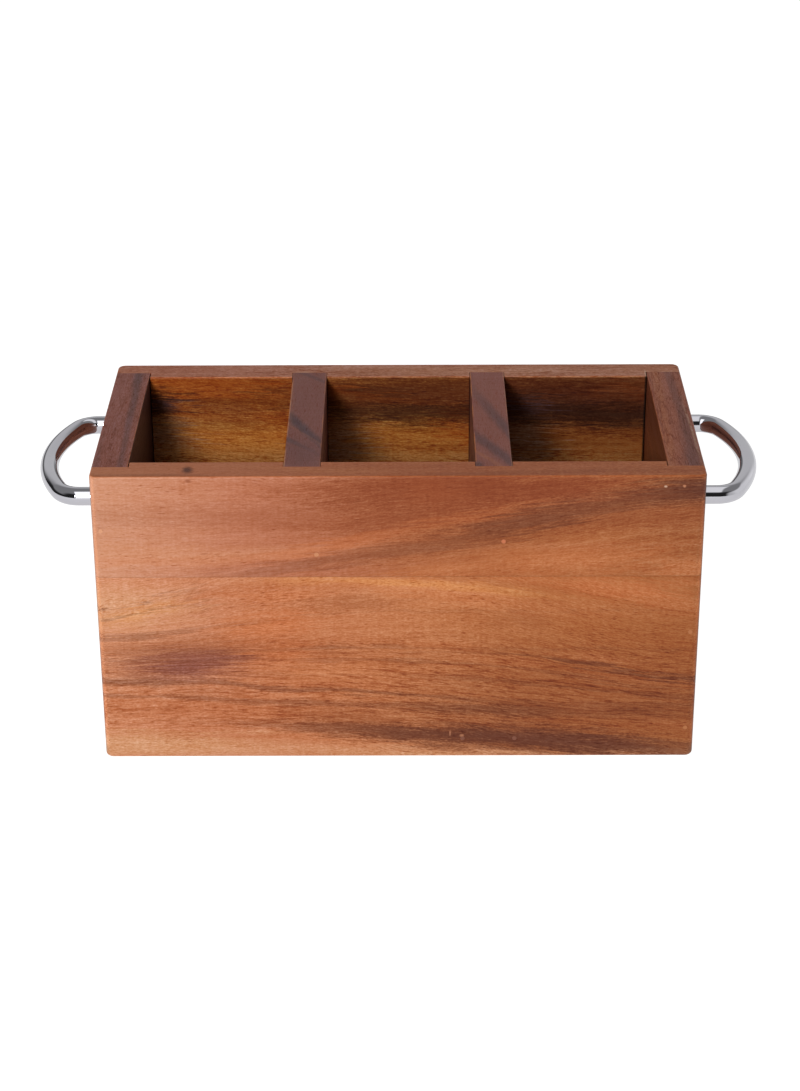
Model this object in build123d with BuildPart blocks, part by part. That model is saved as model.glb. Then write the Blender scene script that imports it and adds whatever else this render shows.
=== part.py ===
from build123d import *

import os
from math import asin, degrees

# Cutlery caddy: an open wooden box with two dividers and a bow handle on each end.
# Millimetres, +Z up, +X to the right. The origin is under the middle of the box, on the table.
# The caddy is the same after half a turn round Z, so every piece has a twin on the other side.

# Case
caddy_width = 300.0  # over the end panels, without the handles
caddy_depth = 146.0
caddy_height = 157.5
stock_thickness = 18.0  # planed boards of the walls and dividers
upper_board_height = 54.2  # top edge down to the glue line of each panel
divider_offset = 47.0  # middle of the caddy to the middle of a divider
corner_radius = 4.0  # upright outer corners
bottom_edge_radius = 2.0  # outer edges at the table
top_edge_radius = 1.2  # outer edges at the top
mouth_radius = 0.8  # inner edges round each compartment

# Housings that hold the end panels and dividers in the front and the back
housing_depth = 6.0
housing_clearance = 0.5  # a housing is this much wider than the board in it

# Base
base_thickness = 12.0
base_recess = 5.0  # table to the underside of the base

# Handles
handle_bar_diameter = 9.4
handle_leg_inset = 28.0  # front or back face to the middle of a leg
handle_reach = 28.7  # end panel to the middle of the bar at its furthest
handle_leg_length = 8.7  # straight stretch next to the wood
handle_corner_radius = 12.0  # along the middle of the bar
handle_drop = 23.0  # top of the caddy down to the middle of the bar

# Handle screws, put in from the compartments, with their heads in plugged counterbores
screw_diameter = 4.0
screw_engagement = 7.0  # thread inside the handle's leg
screw_tip_chamfer = 0.6
screw_head_diameter = 8.0
screw_head_height = 2.6
screw_head_radius = 1.0  # rounded rim of the head
screw_head_recess = 2.6  # head to the face of the wood, filled by a wooden plug
plug_fit = 0.05  # between a plug and its counterbore
drive_length = 4.4  # cross recess in the head
drive_width = 0.9
drive_depth = 1.4
washer_diameter = 9.0
washer_thickness = 0.8
washer_clearance = 0.5  # between the washer and its counterbore
screw_clearance = 0.2  # between the screw and the wood or the washer
thread_fit = 0.05  # between the screw and the tapped leg
tap_run_out = 1.0  # tapped hole beyond the screw's tip

# Brads through the front and the back, punched under the face and stopped with filler
brad_diameter = 1.4
brad_length = 30.0
brad_tip_chamfer = 0.5
brad_head_diameter = 2.2
brad_head_height = 0.8
brad_sink = 2.0  # face of the wood to the head, filled
brad_fit = 0.05  # between a brad or its filler and the wood
end_brad_inset = 4.5  # outside of an end panel to its brads
end_brad_drop = 6.1  # middle of the handle bar down to the highest brad

# Places of the other brads, as shares of the caddy's height, of a divider's thickness from its
# middle, and of the half width inside
end_brad_height_shares = (0.457, 0.108)
divider_brad_height_shares = (0.733, 0.777)
divider_brad_side_shares = (0.38, 0.26)
base_brad_side_shares = (0.245, 0.445)

half_turn = 180

# Sizes that follow
glue_height = caddy_height - upper_board_height
base_top = base_recess + base_thickness
inner_width = caddy_width - 2 * stock_thickness
inner_depth = caddy_depth - 2 * stock_thickness
cross_board_length = inner_depth + 2 * housing_depth
housing_width = stock_thickness + housing_clearance
middle_width = 2 * divider_offset - stock_thickness
side_width = (inner_width - middle_width) / 2 - stock_thickness
side_offset = (inner_width - side_width) / 2
end_face_x = caddy_width / 2
handle_spacing = caddy_depth - 2 * handle_leg_inset
handle_height = caddy_height - handle_drop
counterbore_depth = washer_thickness + screw_head_height + screw_head_recess

front_face = Plane.XZ.offset(caddy_depth / 2)
right_face = Plane(origin=(end_face_x, 0, handle_height), x_dir=(0, 1, 0), z_dir=(1, 0, 0))
washer_seat = right_face.offset(counterbore_depth - stock_thickness)
head_seat = washer_seat.offset(-washer_thickness)
head_face = head_seat.offset(-screw_head_height)
leg_places = ((-handle_spacing / 2, 0), (handle_spacing / 2, 0))

end_brad_x = end_face_x - end_brad_inset
base_brad_z = base_recess + base_thickness / 2
brad_places = [(-end_brad_x, handle_height - end_brad_drop)]
for height_share in end_brad_height_shares:
    brad_places.append((end_brad_x, height_share * caddy_height))
for divider_x, side_share, height_share in zip(
    (-divider_offset, divider_offset), divider_brad_side_shares, divider_brad_height_shares
):
    brad_places.append((divider_x + side_share * stock_thickness, height_share * caddy_height))
for side_share in base_brad_side_shares:
    brad_places.append((side_share * inner_width / 2, base_brad_z))


def save_pair(piece, first_name, second_name):
    # Write a piece, and its twin half a turn round the caddy
    for name, turn in ((first_name, 0), (second_name, half_turn)):
        with BuildPart() as twin:
            add(piece, rotation=(0, 0, turn))
        twin.part.label = name
        export_step(twin.part, f"parts/{name}.step")


def save_boards(panel, first_name, second_name):
    # Part a glued panel at its glue line, and write both boards with their twins
    for level, side in (("upper", Keep.TOP), ("lower", Keep.BOTTOM)):
        with BuildPart() as board:
            add(panel)
            split(bisect_by=Plane.XY.offset(glue_height), keep=side)
        save_pair(board.part, f"{first_name}_{level}_board", f"{second_name}_{level}_board")


os.makedirs("parts", exist_ok=True)

# The sanded form that the glued case has: its outline, eased edges and open compartments
with BuildPart() as sanded_form:
    with BuildSketch():
        RectangleRounded(caddy_width, caddy_depth, corner_radius)
    extrude(amount=caddy_height)
    fillet(sanded_form.edges().group_by(Axis.Z)[0], bottom_edge_radius)
    fillet(sanded_form.edges().group_by(Axis.Z)[-1], top_edge_radius)
    with BuildSketch():
        Rectangle(middle_width, inner_depth)
        with Locations((-side_offset, 0), (side_offset, 0)):
            Rectangle(side_width, inner_depth)
    extrude(amount=caddy_height, mode=Mode.SUBTRACT)
    top_face = sanded_form.faces().sort_by(Axis.Z)[-1]
    mouths = top_face.inner_wires()
    fillet([edge for mouth in mouths for edge in mouth.edges()], mouth_radius)

# Front brads, their filler, and the holes that both sit in
with BuildPart() as brads:
    with BuildSketch(front_face.offset(-brad_sink)):
        with Locations(*brad_places):
            Circle(brad_head_diameter / 2)
    extrude(amount=-brad_head_height)
    with BuildSketch(front_face.offset(-brad_sink)):
        with Locations(*brad_places):
            Circle(brad_diameter / 2)
    extrude(amount=-brad_length)
    chamfer(brads.edges().group_by(Axis.Y)[-1], brad_tip_chamfer)

with BuildPart() as fillers:
    with BuildSketch(front_face):
        with Locations(*brad_places):
            Circle(brad_head_diameter / 2)
    extrude(amount=-brad_sink)

with BuildPart() as front_brad_holes:
    with BuildSketch(front_face):
        with Locations(*brad_places):
            Circle(brad_head_diameter / 2 + brad_fit)
    extrude(amount=-brad_sink - brad_head_height)
    with BuildSketch(front_face):
        with Locations(*brad_places):
            Circle(brad_diameter / 2 + brad_fit)
    extrude(amount=-brad_sink - brad_length)

with BuildPart() as brad_holes:
    add(front_brad_holes.part)
    add(front_brad_holes.part, rotation=(0, 0, half_turn))

# Front panel: rebates at its ends for the end panels, stopped grooves for the dividers
with BuildPart() as front_panel:
    with BuildSketch():
        with Locations((0, -caddy_depth / 2)):
            Rectangle(caddy_width, stock_thickness, align=(Align.CENTER, Align.MIN))
    extrude(amount=caddy_height)
    with BuildSketch():
        for side, edge in ((-1, Align.MIN), (1, Align.MAX)):
            with Locations((side * end_face_x, -inner_depth / 2)):
                Rectangle(housing_width, housing_depth, align=(edge, Align.MAX))
    extrude(amount=caddy_height, mode=Mode.SUBTRACT)
    with BuildSketch(Plane.XY.offset(base_top)):
        with Locations((-divider_offset, -inner_depth / 2), (divider_offset, -inner_depth / 2)):
            Rectangle(housing_width, housing_depth, align=(Align.CENTER, Align.MAX))
    extrude(amount=caddy_height - base_top, mode=Mode.SUBTRACT)
    add(sanded_form.part, mode=Mode.INTERSECT)
    add(brad_holes.part, mode=Mode.SUBTRACT)
save_boards(front_panel.part, "front", "back")

# Right end panel, drilled for the handle screws
with BuildPart() as end_panel:
    with BuildSketch():
        with Locations((end_face_x, 0)):
            Rectangle(stock_thickness, cross_board_length, align=(Align.MAX, Align.CENTER))
    extrude(amount=caddy_height)
    add(sanded_form.part, mode=Mode.INTERSECT)
    with BuildSketch(right_face):
        with Locations(*leg_places):
            Circle(screw_diameter / 2 + screw_clearance)
    extrude(amount=-stock_thickness, mode=Mode.SUBTRACT)
    with BuildSketch(right_face.offset(-stock_thickness)):
        with Locations(*leg_places):
            Circle(washer_diameter / 2 + washer_clearance)
    extrude(amount=counterbore_depth, mode=Mode.SUBTRACT)
    add(brad_holes.part, mode=Mode.SUBTRACT)
save_boards(end_panel.part, "right_end", "left_end")

# Right divider, standing on the base
with BuildPart() as divider:
    with BuildSketch(Plane.XY.offset(base_top)):
        with Locations((divider_offset, 0)):
            Rectangle(stock_thickness, cross_board_length)
    extrude(amount=caddy_height - base_top)
    add(sanded_form.part, mode=Mode.INTERSECT)
    add(brad_holes.part, mode=Mode.SUBTRACT)
save_boards(divider.part, "right_divider", "left_divider")

# Front board of the base, glued to its twin along the middle
with BuildPart() as base_board:
    with BuildSketch(Plane.XY.offset(base_recess)):
        Rectangle(inner_width, inner_depth / 2, align=(Align.CENTER, Align.MAX))
    extrude(amount=base_thickness)
    add(brad_holes.part, mode=Mode.SUBTRACT)
save_pair(base_board.part, "base_front_board", "base_back_board")

# Right handle: two legs, two corners and a bow between them, bent from one round bar
corner_y = handle_spacing / 2 - handle_corner_radius
corner_x = end_face_x + handle_leg_length
bow_rise = handle_reach - handle_leg_length
bow_radius = (bow_rise**2 + corner_y**2 - handle_corner_radius**2) / (
    2 * (bow_rise - handle_corner_radius)
)
bow_x = end_face_x + handle_reach - bow_radius
bow_angle = degrees(asin(corner_y / (bow_radius - handle_corner_radius)))
corner_angle = 90 - bow_angle
with BuildPart() as handle:
    with BuildLine(Plane.XY.offset(handle_height)) as bar_middle:
        leg = Line((end_face_x, -handle_spacing / 2), (corner_x, -handle_spacing / 2))
        CenterArc((corner_x, -corner_y), handle_corner_radius, -90, corner_angle)
        CenterArc((bow_x, 0), bow_radius, -bow_angle, 2 * bow_angle)
        CenterArc((corner_x, corner_y), handle_corner_radius, bow_angle, corner_angle)
        Line((corner_x, handle_spacing / 2), (end_face_x, handle_spacing / 2))
    with BuildSketch(Plane(origin=leg @ 0, z_dir=leg % 0)):
        Circle(handle_bar_diameter / 2)
    sweep(path=bar_middle.wires()[0])
    with BuildSketch(right_face):
        with Locations(*leg_places):
            Circle(screw_diameter / 2 + thread_fit)
    extrude(amount=screw_engagement + tap_run_out, mode=Mode.SUBTRACT)
save_pair(handle.part, "right_handle", "left_handle")

# Screws of the right handle, with a cross recess in each head
with BuildPart() as screws:
    with BuildSketch(head_face):
        with Locations(*leg_places):
            Circle(screw_head_diameter / 2)
    extrude(amount=screw_head_height)
    fillet(screws.edges().group_by(Axis.X)[0], screw_head_radius)
    with BuildSketch(head_seat):
        with Locations(*leg_places):
            Circle(screw_diameter / 2)
    extrude(amount=washer_thickness + stock_thickness - counterbore_depth + screw_engagement)
    chamfer(screws.edges().group_by(Axis.X)[-1], screw_tip_chamfer)
    with BuildSketch(head_face):
        with Locations(*leg_places):
            Rectangle(drive_length, drive_width)
            Rectangle(drive_width, drive_length)
    extrude(amount=drive_depth, mode=Mode.SUBTRACT)
save_pair(screws.part, "right_handle_screws", "left_handle_screws")

# Washers under the screw heads
with BuildPart() as washers:
    with BuildSketch(washer_seat):
        with Locations(*leg_places):
            Circle(washer_diameter / 2)
            Circle(screw_diameter / 2 + screw_clearance, mode=Mode.SUBTRACT)
    extrude(amount=-washer_thickness)
save_pair(washers.part, "right_handle_washers", "left_handle_washers")

# Wooden plugs over the screw heads, flush with the inside of the end panel
with BuildPart() as plugs:
    with BuildSketch(right_face.offset(-stock_thickness)):
        with Locations(*leg_places):
            Circle(washer_diameter / 2 + washer_clearance - plug_fit)
    extrude(amount=screw_head_recess)
save_pair(plugs.part, "right_handle_plugs", "left_handle_plugs")

save_pair(brads.part, "front_brads", "back_brads")
save_pair(fillers.part, "front_brad_fillers", "back_brad_fillers")
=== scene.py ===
from math import cos, radians, sin

import bpy
from mathutils import Matrix, Vector


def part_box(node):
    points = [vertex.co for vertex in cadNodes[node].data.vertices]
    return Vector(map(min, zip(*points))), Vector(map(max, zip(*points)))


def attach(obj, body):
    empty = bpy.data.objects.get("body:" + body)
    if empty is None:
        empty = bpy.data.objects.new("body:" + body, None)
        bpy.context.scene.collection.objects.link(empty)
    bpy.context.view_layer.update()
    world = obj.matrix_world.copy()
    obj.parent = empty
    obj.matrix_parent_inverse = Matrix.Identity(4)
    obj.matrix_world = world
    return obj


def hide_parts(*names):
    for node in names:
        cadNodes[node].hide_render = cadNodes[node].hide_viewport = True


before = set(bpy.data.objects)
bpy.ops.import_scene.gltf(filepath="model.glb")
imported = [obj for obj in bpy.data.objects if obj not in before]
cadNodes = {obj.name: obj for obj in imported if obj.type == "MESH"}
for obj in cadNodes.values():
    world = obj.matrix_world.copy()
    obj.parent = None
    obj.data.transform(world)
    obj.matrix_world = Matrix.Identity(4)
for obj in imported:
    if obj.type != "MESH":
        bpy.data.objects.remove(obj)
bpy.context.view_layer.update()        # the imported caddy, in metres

scene = bpy.context.scene
print("caddy loaded,", len(cadNodes), "pieces")


# one output socket, with the arithmetic that adds Math nodes
class Wire:
    def __init__(self, tree, socket):
        self.tree = tree
        self.socket = socket

    def make(self, kind, settings=None, inputs=None, output=0):
        node = self.tree.nodes.new(kind)
        for name, value in (settings or {}).items():
            if name == "stops":
                setStops(node.color_ramp, value)
            elif name == "blend":
                node.color_ramp.interpolation = value
            else:
                setattr(node, name, value)
        for key, value in (inputs or {}).items():
            if isinstance(value, Wire):
                self.tree.links.new(value.socket, node.inputs[key])
            else:
                node.inputs[key].default_value = value
        return Wire(self.tree, node.outputs[output])

    def maths(self, operation, first, second=0.0):
        return self.make("ShaderNodeMath", {"operation": operation}, {0: first, 1: second})

    def __add__(self, other):
        return self.maths("ADD", self, other)

    def __sub__(self, other):
        return self.maths("SUBTRACT", self, other)

    def __rsub__(self, other):
        return self.maths("SUBTRACT", other, self)

    def __mul__(self, other):
        return self.maths("MULTIPLY", self, other)

    def __truediv__(self, other):
        return self.maths("DIVIDE", self, other)

    def __pow__(self, other):
        return self.maths("POWER", self, other)

    def __abs__(self):
        return self.maths("ABSOLUTE", self)

    __radd__ = __add__
    __rmul__ = __mul__

    def most(self, other):
        return self.maths("MAXIMUM", self, other)

    def rise(self, low, high):        # 0 below low, 1 above high, smooth between
        settings = {"interpolation_type": "SMOOTHSTEP"}
        return self.make("ShaderNodeMapRange", settings, {0: self, 1: low, 2: high})

    def fall(self, low, high):
        settings = {"interpolation_type": "SMOOTHSTEP"}
        return self.make("ShaderNodeMapRange", settings, {0: self, 1: low, 2: high, 3: 1.0, 4: 0.0})


def setStops(ramp, stops):
    while len(ramp.elements) < len(stops):
        ramp.elements.new(1.0)
    for element, (position, colour) in zip(ramp.elements, stops):
        element.position = position
        element.color = colour


def tint(red, green, blue):        # screen colour to the light it stands for
    def linear(part):
        part = part / 255
        return part / 12.92 if part <= 0.04045 else ((part + 0.055) / 1.055) ** 2.4
    return (linear(red), linear(green), linear(blue), 1.0)


def layColour(amount, under, over):        # sockets 6, 7 and 2 are the mix node's colours
    return amount.make("ShaderNodeMix", {"data_type": "RGBA"}, {0: amount, 6: under, 7: over}, 2)


def shadeColour(colour, factor):        # a colour times a number
    return timesColour(colour, joinAxes(factor, factor, factor))


def fibreColour(colour, factor):        # darker fibres are redder too, as in the real wood
    greenPower, bluePower = 2.2, 3.7
    return timesColour(colour, joinAxes(factor, factor ** greenPower, factor ** bluePower))


def timesColour(colour, factors):
    return colour.make("ShaderNodeVectorMath", {"operation": "MULTIPLY"}, {0: colour, 1: factors})


def newMaterial(name):
    material = bpy.data.materials.new(name)
    material.use_nodes = True
    tree = material.node_tree
    shader = tree.nodes["Principled BSDF"]
    inMetres = Wire(tree, tree.nodes.new("ShaderNodeTexCoord").outputs["Object"])
    settings = {"operation": "SCALE"}
    place = inMetres.make("ShaderNodeVectorMath", settings, {0: inMetres, "Scale": 1000.0})
    return material, shader, place        # place is in millimetres


def connect(shader, name, wire):
    wire.tree.links.new(wire.socket, shader.inputs[name])


def splitParts(whole, kind):
    first = whole.make(kind, None, {0: whole})
    sockets = first.socket.node.outputs
    return first, Wire(first.tree, sockets[1]), Wire(first.tree, sockets[2])


def splitAxes(vector):
    return splitParts(vector, "ShaderNodeSeparateXYZ")


def splitColour(colour):
    return splitParts(colour, "ShaderNodeSeparateColor")


def joinAxes(x, y, z):
    return x.make("ShaderNodeCombineXYZ", None, {0: x, 1: y, 2: z})


seedStride = (7.31, 3.17, 5.73)        # keeps the noises of two seeds apart


def grainNoise(place, lengths, seed, detail, roughness=0.5):        # lengths in mm along, across, deep
    scale = tuple(1.0 / length for length in lengths)
    shift = tuple(seed * stride for stride in seedStride)
    settings = {"operation": "MULTIPLY_ADD"}
    spot = place.make("ShaderNodeVectorMath", settings, {0: place, 1: scale, 2: shift})
    inputs = {"Vector": spot, "Scale": 1.0, "Detail": detail, "Roughness": roughness}
    return spot.make("ShaderNodeTexNoise", None, inputs)


def evenNoise(place, length, seed, detail):        # the same every way
    return grainNoise(place, (length, length, length), seed, detail)


def awayFrom(place, middle, size, turn=0.0):        # 0 in the middle of an oval, 1 at its edge
    inputs = {"Vector": place, "Location": middle, "Rotation": (0.0, 0.0, radians(turn)), "Scale": size}
    spot = place.make("ShaderNodeMapping", {"vector_type": "TEXTURE"}, inputs)
    return spot.make("ShaderNodeVectorMath", {"operation": "LENGTH"}, {0: spot}, "Value")


# listed figure of a board, in mm along and across its face
reach = 160.0        # half the stretch that a ramp along the board covers
heightUnit = 200.0        # mm that a ramp value of 1 stands for
softEdge = (0.15, 1.05)        # where a shape starts and ends to fade, in its own half widths


def rampAlong(along, stops):        # stops are a place in mm and a colour
    placed = [((spot + reach) / (2 * reach), colour) for spot, colour in stops]
    share = (along + reach) / (2 * reach)
    return share.make("ShaderNodeValToRGB", {"stops": placed, "blend": "B_SPLINE"}, {0: share})


def streakShape(along, across, points):        # points are along, across, half width, strength
    stops = []
    for spot, height, width, strength in points:
        stops.append((spot, (height / heightUnit, width / heightUnit, 0.0, strength)))
    ramp = rampAlong(along, stops)
    strength = Wire(ramp.tree, ramp.socket.node.outputs["Alpha"])
    centre, width, _ = splitColour(ramp)
    return abs(across / heightUnit - centre) / width, strength


def patchShape(face, middle, size, turn, strength):        # an oval patch, turned in degrees
    return awayFrom(face, (*middle, 0.0), (*size, 1.0), turn), strength


def figureMask(along, across, ragged, shapes):        # ragged frays the edges into fibres
    face = joinAxes(along, across, 0.0)
    mask = None
    for shape in shapes:
        if "streak" in shape:
            away, strength = streakShape(along, across, shape["streak"])
        else:
            away, strength = patchShape(face, *shape["patch"])
        part = (away + ragged).fall(*softEdge) * strength
        mask = part if mask is None else mask.most(part)
    return mask


# colours of the wood, as the eye sees them under even light; some also serve as painted shade and light
# within the compartments
oil = (0.895, 0.815, 0.71)        # what the finish leaves of each colour


def wood(red, green, blue):
    bare = tint(red, green, blue)
    return (*(part * left for part, left in zip(bare, oil)), 1.0)


stain = {
    "tan": wood(214, 152, 118),
    "sand": wood(216, 162, 126),
    "orange": wood(208, 124, 76),
    "honey": wood(204, 131, 86),
    "brown": wood(150, 85, 48),
    "red": wood(143, 72, 38),
    "plum": wood(132, 77, 78),
    "dark": wood(92, 46, 32),
    "amber": wood(176, 88, 28),
    "garnet": wood(100, 47, 24),
    "umber": wood(88, 40, 22),
    "gilt": wood(232, 165, 100),
    "pale": wood(240, 212, 194),
    "walnut": wood(58, 30, 17),
    "paintedShadeTint": wood(180, 144, 124),
    "slate": wood(84, 64, 74),
}


# patterns of the wood: lengths in mm along, across and deep, seed, detail and roughness of the noise
patterns = {
    "wander": ((70.0, 24.0, 24.0), 1, 2.0, 0.5),
    "band": ((110.0, 5.0, 8.0), 2, 3.0, 0.6),
    "line": ((11.0, 1.0, 1.5), 3, 2.0, 0.55),
    "hair": ((2.8, 0.5, 0.6), 4, 1.0, 0.5),
    "fleck": ((1.3, 0.6, 0.6), 5, 1.0, 0.5),
    "curl": ((1.6, 26.0, 26.0), 6, 2.0, 0.5),
    "crowd": ((60.0, 9.0, 14.0), 7, 2.0, 0.5),
    "fray": ((22.0, 1.1, 1.6), 8, 2.0, 0.5),
    "stray": ((34.0, 3.0, 4.0), 9, 2.0, 0.5),
    "run": ((170.0, 9.0, 12.0), 10, 2.0, 0.5),
    "pore": ((5.0, 0.5, 0.5), 15, 1.0, 0.5),
    "ring": ((34.0, 2.4, 3.2), 16, 2.0, 0.5),
    "thread": ((48.0, 0.55, 0.8), 17, 1.0, 0.5),
    "glintBreak": ((14.0, 3.0, 3.0), 22, 2.0, 0.5),
}
finish = {
    "bandWeight": 0.5, "lineWeight": 0.34, "hairWeight": 0.72, "fleckWeight": 0.62, "curlWeight": 0.13,
    "stray": 7.0,        # mm that the figure's edges stray across the grain
    "lineFray": 1.3, "hairFray": 0.8, "fleckFray": 0.6, "runFray": 0.1, "rimFray": 0.4, "rimStray": 0.25,
    "ringWidth": 0.042, "ringCoarsening": 0.3, "ringShade": 0.5,
    "fadeBelow": 8.0, "ringFade": 30.0, "threadFade": 20.0,        # mm
    "poreDepth": 0.3, "poreShade": 0.4, "poreCrowding": 0.2, "figurePores": 0.3, "runPores": 0.6,
    "endGrainShade": 0.34,
    "glueLineWidth": 0.45, "glueLineShade": 0.22, "seamCore": 0.3,
    "arrisHighlight": 0.3,
    "roughness": 0.46, "lineRoughness": 0.16, "poreRoughness": 0.2,
    "lineRelief": 0.5, "hairRelief": 0.5, "bumpStrength": 0.25, "bumpDistance": 0.00012,
    "specular": 0.22,
}
limits = {        # where each mask starts and is full
    "crowd": (0.4, 0.68), "glintBreak": (0.36, 0.6), "thread": (0.58, 0.7), "pore": (0.66, 0.8),        # of noise
    "rim": (0.55, 0.95), "endGrain": (0.86, 0.99), "inner": (0.6, 0.95),        # of the way a face looks
    "arris": (0.8, 0.985),
    "highlightWidth": (0.3, 0.9), "highlightDepth": (1.2, 0.6), "seamDepth": (0.2, 0.6),        # in mm
    "foot": (4.0, 9.0),
    "mark": (0.3, 1.05),        # in half widths
}
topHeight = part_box("front_upper_board")[1].z * 1000


def pattern(name, fibres, seed):        # noise about 0.5
    lengths, offset, detail, roughness = patterns[name]
    return grainNoise(fibres, lengths, seed + offset, detail, roughness)


def layFibres(look, z, along, depth):        # the grain sweeps along the board and leans with depth
    stops = []
    for spot, *rises in look["sweep"]:
        stops.append((spot, (*(0.5 + rise / heightUnit for rise in rises), 1.0)))
    low, middle, high = splitColour(rampAlong(along, stops))
    lowLevel, middleLevel, highLevel = look["levels"]
    lift = low + (middle - low) * z.rise(lowLevel, middleLevel)
    lift = lift + (high - middle) * z.rise(middleLevel, highLevel)
    lift = (lift - 0.5) * heightUnit
    flat = z + (depth - look["faceDepth"]) * look["lean"]
    wander = pattern("wander", joinAxes(along, flat - lift, depth), look["seed"]) - 0.5
    across = flat - lift + wander * look["wander"]
    return joinAxes(along, across, depth), flat


def layFigure(look, fibres, along, across, ragged):        # placed shapes first, then loose streaks
    seed = look["seed"]
    colour = rampAlong(along, look["ground"])
    crowded = pattern("crowd", fibres, seed).rise(*limits["crowd"]) * look["pores"]
    for stainName, shapes in look["figure"]:
        mask = figureMask(along, across, ragged, shapes)
        colour = layColour(mask, colour, stain[stainName])
        if stainName in ("dark", "plum", "gilt"):
            crowded = crowded + mask * finish["figurePores"]
    for stainName, low, high, amount in look.get("runs", []):
        runSeed = seed + low * 9        # each run has its own noise
        run = pattern("run", fibres, runSeed) + ragged * finish["runFray"]
        run = run.rise(low, high) * amount
        colour = layColour(run, colour, stain[stainName])
        if stainName in ("dark", "plum"):
            crowded = crowded + run * finish["runPores"]
    return colour, crowded        # crowded where the pores stand close


def bandBetween(z, low, high, fade):        # 1 from low to high, fading below and above
    return z.rise(low - finish["fadeBelow"], low) * z.fall(high, high + fade)


def woodMaterial(name, look):
    material, shader, place = newMaterial(name)
    x, y, z = splitAxes(place)
    sideways, forward, upward = splitAxes(place.make("ShaderNodeTexCoord", output="Normal"))
    seed = look["seed"]
    if look["grain"] == "x":        # long boards
        along, depth, endways = x, y, abs(sideways)
    else:        # cross boards
        along, depth, endways = y, x, abs(forward)
    fibres, flat = layFibres(look, z, along, depth)
    band = pattern("band", fibres, seed) - 0.5
    line = pattern("line", fibres, seed) - 0.5
    hair = pattern("hair", fibres, seed) - 0.5
    fleck = pattern("fleck", fibres, seed) - 0.5
    curl = pattern("curl", fibres, seed) - 0.5

    # listed figure, its edges drawn out along the fibres
    fray = (pattern("fray", fibres, seed) - 0.5) * look["fray"]
    stray = (pattern("stray", fibres, seed) - 0.5) * finish["stray"]
    ragged = line * finish["lineFray"] + hair * finish["hairFray"] + fleck * finish["fleckFray"]
    ragged = ragged * look["ragged"]
    colour, crowded = layFigure(look, fibres, along + fray, flat + stray, ragged)

    # top edges, planed paler or darker than the faces
    rim = upward.rise(*limits["rim"])
    if "edge" in look:
        edgeColour, edgeAmount = look["edge"]
        colour = layColour(rim * edgeAmount, colour, edgeColour)
    rimAcross = abs(depth) + stray * finish["rimStray"]        # from the middle of the caddy
    for stainName, shapes in look.get("rimFigure", []):
        mask = figureMask(along, rimAcross, ragged * finish["rimFray"], shapes)
        colour = layColour(mask * rim, colour, stain[stainName])
    for spot, stainName, amount in look.get("wornLines", []):        # painted highlight along the top arrises
        deep, shallow = limits["highlightDepth"]
        edgeGlint = abs(depth - spot).fall(*limits["highlightWidth"]) * z.rise(topHeight - deep, topHeight - shallow)
        edgeGlint = edgeGlint * pattern("glintBreak", fibres, seed).rise(*limits["glintBreak"])
        colour = layColour(edgeGlint * amount, colour, stain[stainName])

    # fine grain, growth rings and pores
    fine = band * finish["bandWeight"] + line * finish["lineWeight"]
    fine = fine + hair * finish["hairWeight"] + fleck * finish["fleckWeight"]
    fine = fine * (look["strength"] + x * (look["coarsening"] / reach))
    ringAmount, ringLow, ringHigh = look["rings"]
    ring = abs(pattern("ring", fibres, seed) - 0.5).fall(0.0, finish["ringWidth"])
    ring = ring * bandBetween(z, ringLow, ringHigh, finish["ringFade"])
    ring = ring * (x * (ringAmount * finish["ringCoarsening"] / reach) + ringAmount)
    tone = 1.0 + fine + curl * finish["curlWeight"] - ring
    if "threads" in look:        # long dark fibres
        threadAmount, threadLow, threadHigh = look["threads"]
        thread = pattern("thread", fibres, seed).rise(*limits["thread"])
        thread = thread * bandBetween(z, threadLow, threadHigh, finish["threadFade"])
        tone = tone - thread * threadAmount
    pore = pattern("pore", fibres, seed) + crowded * finish["poreCrowding"]
    pore = pore.rise(*limits["pore"])
    poreDepth = look.get("poreDepth", finish["poreDepth"])
    colour = fibreColour(colour, tone * (1.0 - pore * poreDepth))

    # darkening of the end grain and the joints, painted shade on the inner faces and a painted highlight on
    # the rounded edges
    shade = (1.0 - ring * finish["ringShade"]) * (1.0 - pore * (poreDepth * finish["poreShade"]))
    shade = shade * (1.0 - endways.rise(*limits["endGrain"]) * finish["endGrainShade"])
    if "inside" in look:        # the face towards a compartment, darkened and tinted: painted shade
        way, insideDarkening, stainName, amount = look["inside"]
        inner = (sideways * way).rise(*limits["inner"])
        colour = layColour(inner * amount, colour, stain[stainName])
        shade = shade * (1.0 - inner * insideDarkening)
    for cornerX, width, amount in look.get("corners", []):        # dark gap beside a cross board
        seam = abs(x - cornerX).fall(width * finish["seamCore"], width)
        seam = seam * abs(depth - look["faceDepth"]).fall(*limits["seamDepth"])
        shade = shade * (1.0 - seam * amount)
    if "glueLine" in look:
        glue = abs(z - look["glueLine"]).fall(0.0, finish["glueLineWidth"])
        shade = shade * (1.0 - glue * finish["glueLineShade"])
    # painted highlight on the rounded edges, kept off the foot
    arris = abs(sideways).most(abs(forward)).most(abs(upward)).fall(*limits["arris"])
    shade = shade * (1.0 + arris * z.rise(*limits["foot"]) * finish["arrisHighlight"])
    colour = shadeColour(colour, shade)
    for middle, size, stainName, amount in look.get("marks", []):        # knots and knocks
        away = awayFrom(place, middle, size) + hair * finish["hairFray"]
        colour = layColour(away.fall(*limits["mark"]) * amount, colour, stain[stainName])

    connect(shader, "Base Color", colour)
    rough = finish["roughness"] + line * finish["lineRoughness"] + pore * finish["poreRoughness"]
    connect(shader, "Roughness", rough)
    relief = line * finish["lineRelief"] + hair * finish["hairRelief"] - pore
    bump = {"Strength": finish["bumpStrength"], "Distance": finish["bumpDistance"], "Height": relief}
    connect(shader, "Normal", relief.make("ShaderNodeBump", None, bump))
    shader.inputs["Specular IOR Level"].default_value = finish["specular"]
    return material


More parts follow.
